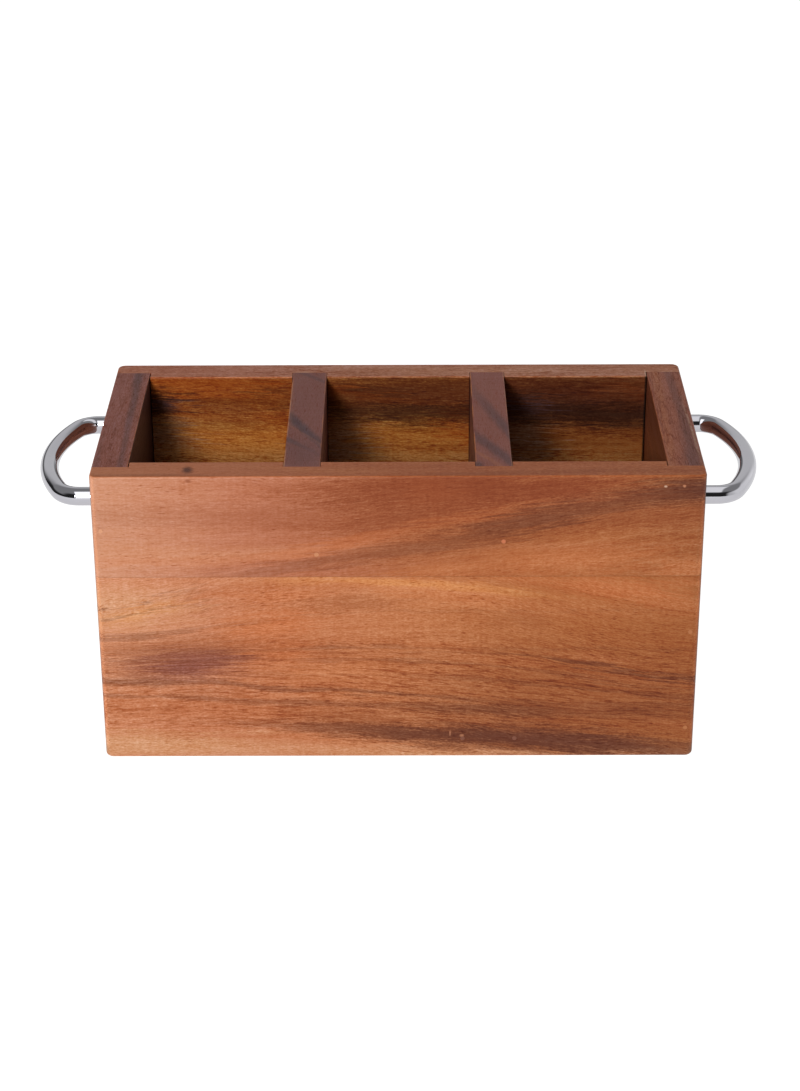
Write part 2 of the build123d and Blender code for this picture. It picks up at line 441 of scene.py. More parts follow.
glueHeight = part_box("front_lower_board")[1].z * 1000
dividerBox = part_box("right_divider_upper_board")
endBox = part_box("right_end_upper_board")
cornerLines = []        # where the cross boards meet the long ones, in mm
for meeting in (dividerBox[0].x, dividerBox[1].x, endBox[0].x):
    cornerLines += [(meeting * 1000, 0.6, 0.7), (meeting * -1000, 0.6, 0.7)]
cornerLines[-2] = (endBox[0].x * 1000, 1.8, 0.95)        # the open joint at the right

frontRim = [
    ("red", [
        {"streak": [(-60, 58, 2.4, 0.0), (-45, 62, 2.6, 0.12), (-25, 61, 2.4, 0.08), (0, 60, 2, 0.0)]},
        {"streak": [
            (-5, 73, 3, 0.0), (20, 71, 4, 0.35), (50, 70, 4.4, 0.38), (90, 67, 4.4, 0.2),
            (120, 66, 4, 0.25), (150, 64, 4, 0.1),
        ]},
    ]),
    ("brown", [
        {"streak": [(-150, 72, 3, 0.3), (-120, 71, 3.4, 0.5), (-95, 72, 3, 0.4), (-75, 73, 2, 0.0)]},
    ]),
    ("honey", [
        {"streak": [
            (-95, 60, 3, 0.0), (-80, 60, 3.4, 0.35), (-60, 63, 3.4, 0.4), (-35, 66, 5, 0.45),
            (-10, 66, 5, 0.4), (20, 67, 4, 0.0),
        ]},
    ]),
]

frontUpperLook = {
    "seed": 3, "grain": "x", "faceDepth": -73.0, "lean": 0.35, "wander": 7.0, "fray": 50.0,
    "strength": 0.52, "coarsening": 0.28, "pores": 0.15, "ragged": 0.45, "glueLine": glueHeight,
    "rings": (0.05, 0.0, 300.0),
    "edge": (wood(206, 122, 76), 0.62), "rimFigure": frontRim,
    "levels": (104.0, 130.0, 157.0),
    "sweep": [
        (-150, -6, -2, 0), (-90, -4, -1, 0), (-40, 0, 0, 0), (0, 6, 4, 2),
        (50, 15, 10, 6), (100, 20, 18, 11), (150, 24, 26, 17),
    ],
    # lighter at the left and darker at the right: partly the wood's own tone, partly painted light falling
    # off from the left
    "ground": [
        (-150, wood(213, 157, 130)), (-100, wood(198, 132, 104)), (-60, wood(187, 118, 90)),
        (-10, wood(176, 106, 69)), (50, wood(178, 105, 60)), (100, wood(176, 107, 63)),
        (150, wood(164, 99, 58)),
    ],
    "figure": [
        ("tan", [
            {"streak": [(-150, 115, 10, 0.4), (-100, 115, 8, 0.5), (-60, 116, 5, 0.4), (-30, 120, 3, 0.1)]},
        ]),
        ("red", [
            {"patch": ((30, 151), (110, 27), 5, 1.0)},
            {"patch": ((70, 150), (80, 16), 2, 1.0)},
            {"patch": ((2, 136), (50, 13), 8, 0.75)},
            {"streak": [
                (-150, 137, 8, 0.18), (-100, 136, 10, 0.2), (-60, 136, 12, 0.3), (-20, 137, 12, 0.4),
            ]},
        ]),
        ("orange", [
            {"streak": [
                (-75, 112, 4, 0.15), (-60, 114, 5, 0.35), (-30, 121, 5, 0.4), (0, 128.5, 4, 0.2),
                (30, 135.5, 3.5, 0.2), (60, 142, 2.5, 0.2), (95, 147, 2, 0.1),
            ]},
            {"patch": ((92, 114), (58, 11), 3, 0.2)},
            {"patch": ((18, 150), (22, 12), 5, 0.11)},
        ]),
        ("brown", [
            {"streak": [
                (-20, 113, 7, 0.0), (20, 121, 10, 0.35), (60, 127, 11, 0.6), (100, 133, 8, 0.25),
                (150, 141, 8, 0.3),
            ]},
        ]),
        ("honey", [
            {"patch": ((22, 106), (40, 6), 8, 0.5)},
            {"patch": ((142, 108), (30, 9), 4, 0.6)},
            {"patch": ((84, 111), (56, 10), 3, 0.5)},
        ]),
        ("dark", [
            {"streak": [
                (-100, 103, 3, 0.0), (-75, 105, 4, 0.24), (-50, 109, 5.5, 0.27), (-25, 114, 6, 0.3),
                (0, 117, 7, 0.32), (30, 124.5, 9, 0.36), (50, 130, 11, 0.54), (75, 136.5, 10.5, 0.6),
                (100, 142.5, 8, 0.44), (125, 149, 9, 0.66), (150, 150.5, 12, 0.95),
            ]},
        ]),
    ],
    "marks": [
        ((-102.6, -64.8, 158.5), (3.8, 5.6, 3.4), "umber", 0.92),
        ((-101.8, -73.0, 155.3), (2.6, 2.0, 1.1), "red", 0.7),
        ((129.8, -73.0, 151.8), (1.0, 1.0, 0.8), "pale", 0.62),
        ((138.9, -73.0, 151.9), (1.0, 1.0, 0.9), "tan", 0.7),
    ],
}

frontLowerLook = {
    "seed": 11, "grain": "x", "faceDepth": -73.0, "lean": 0.25, "wander": 6.0, "fray": 45.0,
    "strength": 0.68, "coarsening": 0.1, "pores": 0.5, "ragged": 0.6, "glueLine": glueHeight,
    "rings": (0.22, 20.0, 48.0), "threads": (0.14, 18.0, 58.0),
    "edge": (wood(200, 124, 84), 0.55),
    "levels": (12.0, 40.0, 85.0),
    "sweep": [
        (-150, 1, 5, -20), (-115, 1, 5, -15), (-90, 2, 5, -10), (-60, 2, 4, -5), (-20, 1, 2, -1),
        (0, 0, 0, 0), (40, -3, -4, -3), (60, -6, -7, -6), (100, -9, -13, -15), (150, -13, -20, -27),
    ],
    # lighter at the left and darker at the right: partly the wood's own tone, partly painted light falling
    # off from the left
    "ground": [
        (-150, wood(217, 153, 120)), (-100, wood(201, 133, 99)), (-60, wood(198, 126, 87)),
        (-20, wood(197, 127, 86)), (20, wood(194, 124, 80)), (60, wood(178, 108, 62)),
        (100, wood(173, 103, 56)), (150, wood(163, 96, 51)),
    ],
    "figure": [
        ("sand", [
            {"patch": ((-140, 86), (55, 20), 0, 0.75)},
            {"streak": [
                (-150, 7, 11, 1.0), (-100, 8, 10, 1.0), (-60, 5, 7, 0.36), (-20, 3, 6.5, 0.58),
                (20, 0.5, 7, 0.95), (50, 0, 8, 0.4),
            ]},
            {"streak": [
                (-150, 15.5, 1.1, 0.7), (-100, 15, 1.2, 0.7), (-60, 14.5, 1, 0.3), (-35, 14, 1, 0.0),
            ]},
        ]),
        ("honey", [
            {"streak": [
                (-75, 100, 3, 0.1), (-40, 101, 4, 0.6), (-10, 99.5, 6, 0.9), (20, 96, 9, 1.0),
                (45, 91, 9, 0.7), (70, 85, 9, 0.2),
            ]},
            {"streak": [(60, 104, 5, 0.0), (85, 101, 6, 0.4), (115, 94, 8, 0.55), (150, 84, 8, 0.45)]},
            {"patch": ((58, 55), (24, 6), -10, 0.4)},
            {"patch": ((98, 29), (18, 5), -6, 0.5)},
            {"patch": ((126, 46.5), (36, 4.4), -10, 0.5)},
            {"patch": ((-16, 49), (70, 9), -2, 0.64)},
            {"patch": ((20, 64), (28, 5), -3, 0.5)},
            {"patch": ((20, 91), (18, 6), -10, 0.6)},
            {"patch": ((58, 102), (28, 5), -4, 0.5)},
            {"patch": ((98, 57), (24, 4), -9, 0.4)},
            {"patch": ((38, 58), (24, 6), -4, 0.4)},
            {"patch": ((-76, 76), (17, 5), 8, 0.4)},
            {"patch": ((138, 19), (22, 5), -5, 0.4)},
            {"patch": ((142, 99), (18, 5), -4, 0.35)},
            {"patch": ((100, 46), (22, 4), -9, 0.35)},
        ]),
        ("gilt", [
            {"streak": [
                (-65, 101.5, 2, 0.0), (-35, 101.5, 2.6, 0.3), (0, 100.3, 3, 0.4), (30, 98, 3.6, 0.42),
                (60, 94, 3, 0.25), (85, 91, 2, 0.0),
            ]},
            {"patch": ((-128, 83), (28, 5), 16, 0.4)},
        ]),
        ("orange", [
            {"patch": ((-66, 75), (34, 13), 8, 0.6)},
            {"patch": ((-58, 93), (40, 6), 0, 0.35)},
            {"patch": ((-62, 60), (24, 10), 5, 0.5)},
            {"patch": ((-115, 29), (76, 20), 0, 0.28)},
            {"patch": ((105, 97), (50, 10), -5, 0.4)},
        ]),
        ("brown", [
            {"patch": ((100, 34), (150, 44), -6, 0.55)},
            {"patch": ((-15, 22), (70, 10), -6, 0.55)},
            {"patch": ((-108, 59), (66, 16), 5, 0.46)},
            {"patch": ((-115, 29), (76, 20), 0, 0.13)},
            {"patch": ((60, 15), (120, 18), -4, 0.85)},
            {"patch": ((-26, 89), (34, 7), 0, 0.38)},
            {"patch": ((62, 78), (26, 10), -12, 0.26)},
            {"patch": ((-100, 37), (32, 5), 0, 0.3)},
            {"patch": ((-132, 47), (28, 6), 0, 0.35)},
            {"patch": ((-133, 63), (24, 8), 4, 0.32)},
        ]),
        ("plum", [
            {"patch": ((-105, 54.5), (43, 13), 4, 0.64)},
            {"patch": ((-108, 52.5), (33, 7), 4, 0.74)},
        ]),
        ("dark", [
            {"streak": [
                (-150, 68.5, 3, 0.35), (-115, 71, 2.5, 0.35), (-90, 76, 2, 0.16), (-60, 80, 1.6, 0.16),
                (-30, 84, 1, 0.1),
            ]},
            {"streak": [
                (-150, 44.5, 3.4, 0.45), (-100, 44.5, 3, 0.42), (-75, 42, 2.2, 0.4), (-60, 40, 2.6, 0.5),
                (0, 37, 2.6, 0.42), (40, 33.5, 2.6, 0.3), (65, 30, 3, 0.25),
            ]},
            {"streak": [
                (-150, 37.5, 1.6, 0.3), (-100, 35.5, 1.8, 0.3), (-50, 31.5, 2.4, 0.36),
                (0, 30, 3.6, 0.34), (30, 28.5, 5, 0.45), (60, 27, 6.5, 0.62), (92, 26, 6, 0.15),
                (116, 27, 6, 0.42), (145, 26, 4, 0.1),
            ]},
            {"streak": [
                (-95, 21, 2, 0.0), (-60, 19.5, 5, 0.42), (-20, 15.5, 7, 0.58), (0, 13.8, 8, 0.74),
                (30, 12.5, 9, 0.86), (60, 11.5, 11, 0.82), (100, 7.5, 11, 0.84), (125, 6, 9, 0.74),
                (150, 3, 7, 0.36),
            ]},
            {"streak": [
                (40, 61, 1.4, 0.1), (60, 60, 1.7, 0.4), (80, 57, 2.1, 0.5), (100, 53, 2.6, 0.54),
                (120, 49, 2.8, 0.54), (150, 43, 3.4, 0.6),
            ]},
            {"streak": [
                (-60, 62, 2, 0.1), (-45, 63.5, 2.4, 0.38), (-20, 65, 1.8, 0.3), (20, 64, 1.4, 0.12),
                (55, 62, 1, 0.15),
            ]},
            {"streak": [
                (-60, 57, 1.2, 0.12), (-20, 57, 1.2, 0.25), (20, 55.5, 1.2, 0.25), (60, 52, 1.4, 0.25),
                (100, 46, 1.6, 0.25), (150, 37, 2, 0.25),
            ]},
            {"streak": [
                (-30, 48.5, 1.4, 0.1), (20, 47, 1.7, 0.12), (60, 45, 2, 0.25), (100, 39, 2.4, 0.25),
                (150, 33, 2.4, 0.28),
            ]},
            {"patch": ((-99, 92), (5, 16), 5, 0.16)},
            {"streak": [
                (-150, 84, 0.9, 0.4), (-122, 91, 1, 0.45), (-105, 96, 0.8, 0.1), (-95, 98, 0.8, 0.0),
            ]},
            {"streak": [
                (-150, 78, 0.9, 0.35), (-125, 83.5, 1, 0.4), (-100, 90, 0.8, 0.1), (-90, 92, 0.8, 0.0),
            ]},
        ]),
    ],
    "marks": [
        ((26.0, -73.0, 14.0), (0.6, 0.8, 2.2), "tan", 0.5),
        ((32.0, -73.0, 12.6), (1.5, 1.0, 1.2), "tan", 0.5),
    ],
}

backRim = [
    ("tan", [
        {"streak": [
            (-50, 64, 12, 0.0), (-15, 64, 12, 0.62), (60, 64, 12, 0.6), (150, 64, 12, 0.45),
        ]},
    ]),
]

backUpperLook = {
    "seed": 23, "grain": "x", "faceDepth": 55.0, "lean": -0.3, "wander": 6.0, "fray": 90.0,
    "strength": 0.95, "coarsening": 0.0, "pores": 0.7, "ragged": 0.5, "glueLine": glueHeight,
    "rings": (0.16, 0.0, 300.0),
    "edge": (wood(206, 139, 116), 0.85), "rimFigure": backRim,
    "corners": cornerLines, "wornLines": [(55.0, "honey", 0.45)],
    "marks": [
        ((131.4, 59.0, 157.5), (0.7, 5.5, 1.0), "pale", 0.6),
        ((-50.0, 62.0, 157.5), (8.0, 0.8, 1.0), "pale", 0.35),
    ],
    "levels": (104.0, 130.0, 157.0),
    "sweep": [(-150, 4, 6, 6), (-50, 2, 2, 2), (50, -1, -2, -2), (150, -3, -4, -4)],
    "ground": [
        (-150, wood(200, 128, 62)), (-60, wood(206, 132, 58)), (-30, wood(190, 120, 54)),
        (30, wood(178, 111, 46)), (60, wood(150, 90, 42)), (150, wood(140, 81, 37)),
    ],
    "figure": [
        ("gilt", [{"streak": [(-150, 106, 15, 0.5), (0, 106, 15, 0.6), (150, 106, 15, 0.4)]}]),
        ("amber", [
            {"streak": [
                (-150, 152, 26, 0.85), (-70, 151, 26, 0.9), (-40, 150, 24, 0.4), (-20, 150, 20, 0.0),
            ]},
        ]),
        ("garnet", [
            {"streak": [
                (-75, 150, 20, 0.0), (-36, 148, 22, 0.9), (36, 147, 22, 0.9), (70, 146, 20, 0.3),
            ]},
        ]),
        ("umber", [
            {"streak": [
                (30, 148, 20, 0.0), (60, 146, 24, 0.95), (110, 145, 26, 0.85), (150, 145, 26, 0.6),
            ]},
        ]),
        # painted shade: a greyish tint at the left side of each compartment, where the cross board's shadow
        # falls
        ("paintedShadeTint", [
            {"patch": ((-128, 116), (24, 32), 0, 0.62)},
            {"patch": ((-32, 117), (20, 25), 0, 0.6)},
            {"patch": ((65, 117), (20, 28), 0, 0.7)},
        ]),
        ("amber", [{"patch": ((-64, 133), (16, 11), 0, 0.65)}, {"patch": ((31, 128), (15, 18), 0, 0.5)}]),
        ("brown", [{"patch": ((-90, 136), (42, 9), -3, 0.45)}, {"patch": ((124, 151), (14, 7), 0, 0.5)}]),
        # painted light: a pale patch lifting the low corner by the left end
        ("gilt", [{"patch": ((-124, 112), (18, 12), 0, 0.8)}]),
        ("amber", [
            {"streak": [
                (-60, 158, 2, 0.0), (-34, 151, 2.6, 0.4), (-10, 145.5, 2.6, 0.4), (10, 142, 2, 0.0),
            ]},
        ]),
        ("walnut", [
            {"streak": [
                (-60, 141, 8, 0.2), (-40, 140.5, 8, 0.5), (-4, 135.5, 10, 0.85), (36, 136, 8, 0.62),
                (60, 138, 11, 0.85), (100, 136, 11, 0.95), (150, 134, 9, 0.85),
            ]},
            {"streak": [
                (-150, 145, 4, 0.4), (-110, 143.5, 3.4, 0.4), (-60, 143, 3, 0.35), (-40, 142, 3, 0.0),
            ]},
            {"streak": [(-150, 132, 7, 0.3), (-110, 130, 6, 0.25), (-60, 130, 5, 0.1)]},
            # painted shadow: the next patch darkens the corner by the left end
            {"patch": ((-132, 142), (27, 14), 0, 0.95)},
            {"patch": ((-12, 149), (28, 6), -8, 0.4)},
            {"patch": ((-68, 149), (13, 5), 0, 0.4)},
            {"patch": ((-96, 142), (20, 4), 0, 0.35)},
            {"patch": ((66, 144), (16, 10), 0, 0.75)},
            {"patch": ((-120, 130), (15, 4), 0, 0.4)},
            {"patch": ((2, 130), (13, 5), 0, 0.4)},
        ]),
        # painted shade: a grey-blue tint at the left side of two compartments
        ("slate", [{"patch": ((-122, 142), (14, 6), 0, 0.5)}, {"patch": ((68, 140), (12, 9), 0, 0.6)}]),
    ],
}


def plainLook(seed, grain, ground, runs, **changes):        # a board whose figure chance places
    look = {
        "seed": seed, "grain": grain, "faceDepth": 0.0, "lean": 0.2, "wander": 11.0, "fray": 90.0,
        "strength": 0.75, "coarsening": 0.0, "pores": 0.6, "ragged": 0.8, "figure": [],
        "levels": (20.0, 80.0, 140.0),
        "sweep": [(-150, -4, 5, 3), (-60, 0, 2, -2), (10, 4, -2, -4), (80, 2, 0, 3), (150, -5, 4, 6)],
        "ground": ground, "runs": runs, "rings": (0.1, 0.0, 300.0),
    }
    look.update(changes)
    return look


def evenGround(first, second):
    return [(-150, first), (-40, second), (40, first), (150, second)]


backLowerLook = plainLook(
    31, "x", evenGround(wood(200, 130, 84), wood(186, 116, 70)),
    [("brown", 0.45, 0.62, 0.6), ("dark", 0.55, 0.75, 0.6), ("orange", 0.5, 0.7, 0.4)],
    glueLine=glueHeight, faceDepth=55.0, corners=cornerLines,
)
endLook = {
    "ground": evenGround(wood(158, 100, 84), wood(150, 92, 74)),
    "runs": [("brown", 0.45, 0.65, 0.5), ("dark", 0.52, 0.72, 0.6), ("orange", 0.56, 0.75, 0.3)],
    "glueLine": glueHeight, "pores": 0.2, "strength": 0.7, "rings": (0.2, 0.0, 300.0),
}
dividerLook = {
    "ground": evenGround(wood(146, 98, 88), wood(140, 90, 78)),
    "runs": [("plum", 0.42, 0.62, 0.6), ("dark", 0.48, 0.66, 0.6)],
    "glueLine": glueHeight, "pores": 0.0, "poreDepth": 0.04, "strength": 0.32, "rings": (0.04, 0.0, 300.0),
}
leftEndRim = [
    ("slate", [
        {"streak": [
            (-73, 135.5, 2.6, 0.45), (-30, 136.5, 2.6, 0.4), (0, 137, 3, 0.5), (40, 137, 3.4, 0.6),
            (73, 139, 5, 0.7),
        ]},
        {"streak": [(-73, 147, 3, 0.4), (-40, 148.5, 2.4, 0.2), (0, 150, 2, 0.0)]},
    ]),
]
rightEndRim = [
    ("slate", [
        {"streak": [
            (-73, 144, 7.5, 0.62), (-50, 145, 6.6, 0.56), (-20, 146, 5, 0.5), (10, 145, 4, 0.42),
            (40, 144, 3.4, 0.4), (73, 143, 3, 0.3),
        ]},
    ]),
    ("honey", [
        {"streak": [
            (-73, 134, 3, 0.3), (-30, 135, 3.4, 0.35), (10, 136, 3.4, 0.3), (50, 136, 4, 0.4),
            (73, 136, 4, 0.4),
        ]},
    ]),
    ("pale", [
        {"streak": [
            (-60, 148.5, 0.9, 0.0), (-30, 148.5, 0.9, 0.3), (0, 147.5, 0.9, 0.3), (20, 147, 0.9, 0.0),
        ]},
    ]),
]
leftDividerRim = [
    ("slate", [
        {"streak": [
            (-60, 27, 5, 0.0), (-33, 39, 5, 0.7), (-14, 48, 5.4, 0.84), (6, 57, 5, 0.8),
            (25, 66, 4, 0.3),
        ]},
        {"streak": [(-60, 29, 4, 0.0), (-40, 45, 4.4, 0.5), (-26, 56.5, 4.6, 0.66), (-12, 68, 4, 0.4)]},
        {"streak": [(35, 28, 3.4, 0.2), (48, 39, 3.4, 0.4), (61, 51, 3.4, 0.4), (73, 62, 3.4, 0.4)]},
        {"patch": ((-44, 47), (26, 15), 0, 0.3)},
    ]),
    ("honey", [
        {"streak": [(-40, 34, 1.4, 0.1), (-24, 45, 1.4, 0.14), (-10, 56, 1.4, 0.1)]},
        {"patch": ((67, 42), (9, 5), 0, 0.25)},
    ]),
]
rightDividerRim = [
    ("slate", [
        {"streak": [
            (-40, 63, 5, 0.5), (-22, 57, 5.4, 0.66), (0, 50, 5.4, 0.62), (25, 42.6, 5, 0.4),
            (45, 36, 4, 0.1),
        ]},
        {"streak": [
            (-73, 64, 6, 0.66), (-58, 57, 6.4, 0.66), (-40, 47.6, 6.4, 0.66), (-23.6, 39, 6, 0.6),
            (-5, 30, 5, 0.4),
        ]},
        {"patch": ((-60, 39.5), (8, 4), 0, 0.7)},
    ]),
    ("honey", [
        {"streak": [(-66, 53, 2.4, 0.15), (-54, 46, 2.6, 0.28), (-44, 39, 2.4, 0.28), (-34, 33, 2, 0.15)]},
    ]),
]
baseLook = {
    "ground": evenGround(wood(190, 122, 80), wood(176, 108, 68)),
    "runs": [("brown", 0.45, 0.65, 0.5), ("dark", 0.55, 0.75, 0.5)],
}

boardLooks = {
    "front_upper_board": frontUpperLook,
    "front_lower_board": frontLowerLook,
    "back_upper_board": backUpperLook,
    "back_lower_board": backLowerLook,
    "left_end_upper_board": plainLook(
        41, "y", **endLook, edge=(wood(160, 98, 90), 0.8), inside=(1.0, 0.64, "slate", 0.5),
        rimFigure=leftEndRim, wornLines=[(-132.0, "honey", 0.4)],
    ),
    "left_end_lower_board": plainLook(43, "y", **endLook, inside=(1.0, 0.64, "slate", 0.5)),
    "right_end_upper_board": plainLook(
        47, "y", **endLook, edge=(wood(170, 99, 75), 0.8), inside=(-1.0, 0.28, "amber", 0.3),
        rimFigure=rightEndRim, wornLines=[(132.0, "honey", 0.4)],
    ),
    "right_end_lower_board": plainLook(53, "y", **endLook, inside=(-1.0, 0.28, "amber", 0.3)),
    "left_divider_upper_board": plainLook(
        59, "y", **dividerLook, edge=(wood(144, 90, 85), 0.85), rimFigure=leftDividerRim,
        wornLines=[(-56.0, "tan", 0.7), (-38.0, "honey", 0.5)],
    ),
    "left_divider_lower_board": plainLook(61, "y", **dividerLook),
    "right_divider_upper_board": plainLook(
        67, "y", **dividerLook, edge=(wood(159, 97, 88), 0.85), rimFigure=rightDividerRim,
        wornLines=[(38.0, "honey", 0.7), (56.0, "tan", 0.4)],
    ),
    "right_divider_lower_board": plainLook(71, "y", **dividerLook),
    "base_front_board": plainLook(73, "x", **baseLook),
    "base_back_board": plainLook(79, "x", **baseLook),
}
for boardName, boardLook in boardLooks.items():
    cadNodes[boardName].material_slots[0].material = woodMaterial(boardName + "_wood", boardLook)
for side in ("left", "right"):        # plugs cut from the panels, so that their grain runs on
    endWood = cadNodes[side + "_end_upper_board"].material_slots[0].material
    cadNodes[side + "_handle_plugs"].material_slots[0].material = endWood
print("boards finished,", len(boardLooks))


# polished bar of the handles, plated screws and brads, pale filler
polishedLook = {
    "cloud": 14.0, "fine": 1.2,        # mm
    "dark": tint(200, 199, 206), "light": tint(208, 207, 213),
    "roughness": 0.035, "haze": 0.05, "scuffs": 0.02,
}
platedLook = {
    "cloud": 3.0, "fine": 0.25,
    "dark": tint(160, 160, 164), "light": tint(196, 196, 198),
    "roughness": 0.28, "haze": 0.2, "scuffs": 0.1,
}
fillerLook = {
    "cloud": 1.4, "fine": 0.3,
    "dark": wood(196, 130, 90), "light": wood(214, 146, 104),
    "left": wood(224, 164, 132), "middle": wood(200, 118, 80),        # to suit the wood around
    "low": wood(128, 78, 60), "right": wood(184, 118, 72), "specks": 0.4,
    "roughness": 0.62, "haze": 0.2, "bumpStrength": 0.3, "bumpDistance": 0.0001,
}


def polishedMaterial():
    material, shader, place = newMaterial("polished_bar")
    cloud = evenNoise(place, polishedLook["cloud"], 5, 2.0)
    fine = evenNoise(place, polishedLook["fine"], 6, 1.0)
    connect(shader, "Base Color", layColour(cloud, polishedLook["dark"], polishedLook["light"]))
    rough = polishedLook["roughness"] + cloud.rise(0.45, 0.8) * polishedLook["haze"]
    connect(shader, "Roughness", rough + (fine - 0.5) * polishedLook["scuffs"])
    shader.inputs["Metallic"].default_value = 1.0
    return material


def steelMaterial():
    material, shader, place = newMaterial("plated_steel")
    cloud = evenNoise(place, platedLook["cloud"], 8, 3.0)
    fine = evenNoise(place, platedLook["fine"], 9, 1.0)
    connect(shader, "Base Color", layColour(cloud, platedLook["dark"], platedLook["light"]))
    rough = platedLook["roughness"] + cloud * platedLook["haze"]
    connect(shader, "Roughness", rough + (fine - 0.5) * platedLook["scuffs"])
    shader.inputs["Metallic"].default_value = 1.0
    return material


def fillerMaterial():
    material, shader, place = newMaterial("pale_filler")
    cloud = evenNoise(place, fillerLook["cloud"], 12, 3.0)
    speck = evenNoise(place, fillerLook["fine"], 13, 1.0).rise(0.6, 0.75)
    x, _, z = splitAxes(place)
    colour = layColour(cloud, fillerLook["dark"], fillerLook["light"])
    colour = layColour(x.fall(-140.0, 0.0), colour, fillerLook["left"])
    colour = layColour(x.rise(0.0, 40.0), colour, fillerLook["middle"])
    colour = layColour(z.fall(10.0, 40.0) * x.fall(80.0, 120.0), colour, fillerLook["low"])
    colour = layColour(x.rise(100.0, 130.0), colour, fillerLook["right"])
    connect(shader, "Base Color", layColour(speck * fillerLook["specks"], colour, stain["brown"]))
    connect(shader, "Roughness", fillerLook["roughness"] + cloud * fillerLook["haze"])
    bump = {"Strength": fillerLook["bumpStrength"], "Distance": fillerLook["bumpDistance"], "Height": cloud}
    connect(shader, "Normal", cloud.make("ShaderNodeBump", None, bump))
    return material


polished = polishedMaterial()
plated = steelMaterial()
pale = fillerMaterial()
for nodeName, node in cadNodes.items():
    if nodeName.endswith(("_screws", "_washers", "_brads")):
        node.material_slots[0].material = plated
    elif nodeName.endswith("_fillers"):
        node.material_slots[0].material = pale
print("metal and filler finished")


# bow handles: one bar bent to two legs, two corners and a bow
lowCorner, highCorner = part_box("right_handle")
barDiameter = highCorner.z - lowCorner.z
handleBar = {
    "Bar Diameter": barDiameter,
    "Wall": lowCorner.x,        # end panel's face
    "Height": (lowCorner.z + highCorner.z) / 2,
    "Leg Spacing": highCorner.y - lowCorner.y - barDiameter,
    "Reach": highCorner.x - lowCorner.x - barDiameter / 2,
    "Leg Length": 0.0087,
    "Corner Radius": 0.012,
    "Ring Sides": 64,
    "Corner Steps": 40,
    "Bow Steps": 72,
    "Turn": 0.0,
}
jointGap = 0.00002        # stretches closer than this join


def handleTree():
    tree = bpy.data.node_groups.new("bentBar", "GeometryNodeTree")
    tree.interface.new_socket("Geometry", in_out="OUTPUT", socket_type="NodeSocketGeometry")
    for name, value in handleBar.items():
        kind = "NodeSocketInt" if isinstance(value, int) else "NodeSocketFloat"
        tree.interface.new_socket(name, in_out="INPUT", socket_type=kind)
    tree.interface.new_socket("Material", in_out="INPUT", socket_type="NodeSocketMaterial")
    source = tree.nodes.new("NodeGroupInput")
    size = {socket.name: Wire(tree, socket) for socket in source.outputs if socket.name}
    radius = size["Corner Radius"]
    wall, height = size["Wall"], size["Height"]
    cornerY = size["Leg Spacing"] / 2 - radius
    cornerX = wall + size["Leg Length"]
    bowRise = size["Reach"] - size["Leg Length"]
    bowRadius = (bowRise * bowRise + cornerY * cornerY - radius * radius) / ((bowRise - radius) * 2)
    bowX = wall + size["Reach"] - bowRadius
    bowAngle = radius.maths("ARCSINE", cornerY / (bowRadius - radius))
    cornerAngle = radians(90) - bowAngle
    legY = size["Leg Spacing"] / 2

    def legLine(side):
        start = joinAxes(wall, legY * side, height)
        end = joinAxes(cornerX, legY * side, height)
        return wall.make("GeometryNodeCurvePrimitiveLine", None, {"Start": start, "End": end})

    def bend(x, y, turnRadius, start, sweep, steps):
        inputs = {"Resolution": steps, "Radius": turnRadius, "Start Angle": start, "Sweep Angle": sweep}
        arc = x.make("GeometryNodeCurveArc", {"mode": "RADIUS"}, inputs)
        return arc.make("GeometryNodeTransform", None, {0: arc, "Translation": joinAxes(x, y, height)})

    corner = size["Corner Steps"]
    stretches = [
        legLine(-1.0),
        bend(cornerX, cornerY * -1.0, radius, radians(-90), cornerAngle, corner),
        bend(bowX, 0.0, bowRadius, bowAngle * -1.0, bowAngle * 2.0, size["Bow Steps"]),
        bend(cornerX, cornerY, radius, bowAngle, cornerAngle, corner),
        legLine(1.0),
    ]
    joined = wall.make("GeometryNodeJoinGeometry")
    for stretch in stretches:
        tree.links.new(stretch.socket, joined.socket.node.inputs[0])
    edges = joined.make("GeometryNodeCurveToMesh", None, {"Curve": joined})
    inputs = {"Geometry": edges, "Distance": jointGap}
    edges = edges.make("GeometryNodeMergeByDistance", None, inputs)
    path = edges.make("GeometryNodeMeshToCurve", None, {"Mesh": edges})
    path = path.make("GeometryNodeSetCurveNormal", {"mode": "Z_UP"}, {"Curve": path})
    ring = {"Resolution": size["Ring Sides"], "Radius": size["Bar Diameter"] / 2}
    ring = wall.make("GeometryNodeCurvePrimitiveCircle", {"mode": "RADIUS"}, ring)
    inputs = {"Curve": path, "Profile Curve": ring, "Fill Caps": True}
    bar = path.make("GeometryNodeCurveToMesh", None, inputs)
    bar = bar.make("GeometryNodeSetShadeSmooth", None, {"Geometry": bar})
    turn = wall.make("ShaderNodeCombineXYZ", None, {"Z": size["Turn"]})
    bar = bar.make("GeometryNodeTransform", None, {0: bar, "Rotation": turn})
    bar = bar.make("GeometryNodeRealizeInstances", None, {0: bar})
    bar = bar.make("GeometryNodeSetMaterial", None, {"Geometry": bar, "Material": size["Material"]})
    sink = tree.nodes.new("NodeGroupOutput")
    tree.links.new(bar.socket, sink.inputs[0])
    return tree


